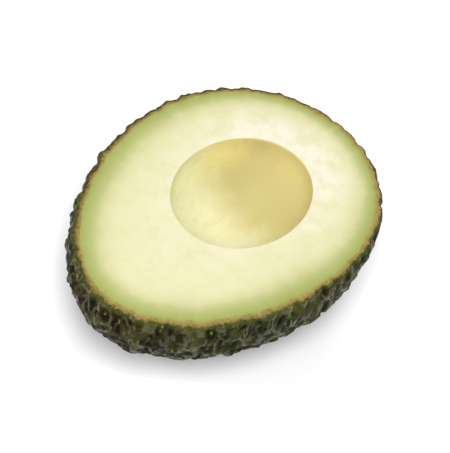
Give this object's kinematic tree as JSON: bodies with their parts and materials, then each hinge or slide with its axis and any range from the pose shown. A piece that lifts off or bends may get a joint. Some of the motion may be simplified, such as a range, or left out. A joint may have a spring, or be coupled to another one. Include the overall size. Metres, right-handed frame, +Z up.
{
  "type": "avocado half",
  "caption": "Half an avocado cut lengthwise, with warty dark skin, a flat cut face and the open hollow left by its stone.",
  "frame": {"origin": "bottom centre of the bounding box, where the rounded back rests on a board", "axes": "+X along the fruit from the stem end to the broad end, +Z up out of the cut face"},
  "size_m": [0.0968, 0.073, 0.0345],
  "materials": {
    "flesh": "satin",
    "peel": "satin"
  },
  "bodies": {
    "root": {"avocado_half": "flesh"}
  },
  "joints": []
}
